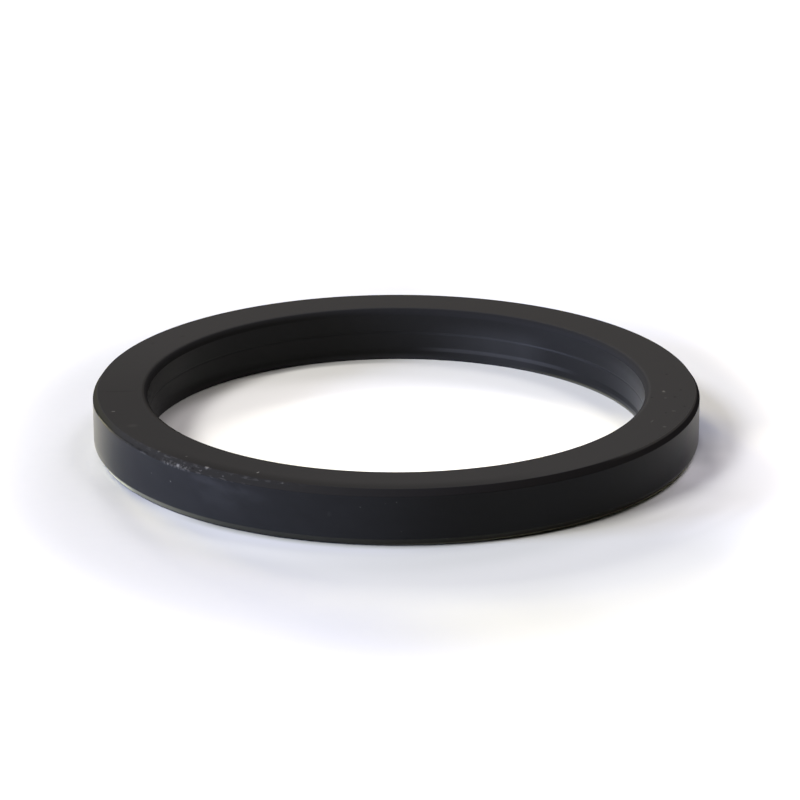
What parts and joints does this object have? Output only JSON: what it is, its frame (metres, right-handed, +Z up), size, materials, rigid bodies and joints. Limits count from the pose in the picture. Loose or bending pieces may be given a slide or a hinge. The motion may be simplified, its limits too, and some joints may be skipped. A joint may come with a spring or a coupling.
{
  "type": "group head gasket",
  "caption": "Plain rubber ring with a bevelled outer lip and a smooth bore, which seals a filter holder against an espresso machine's group head.",
  "frame": {"origin": "middle of the ring's lower face, on the axis of the bore", "axes": "+Z up along the axis of the bore, from the lower face to the bevelled upper face; X and Y are equal by symmetry"},
  "size_m": [0.064, 0.064, 0.006],
  "materials": {
    "moulded_rubber": "matt black moulded rubber, dull on the faces and satin on the walls"
  },
  "bodies": {
    "root": {"gasket_ring": "moulded_rubber"}
  },
  "joints": []
}
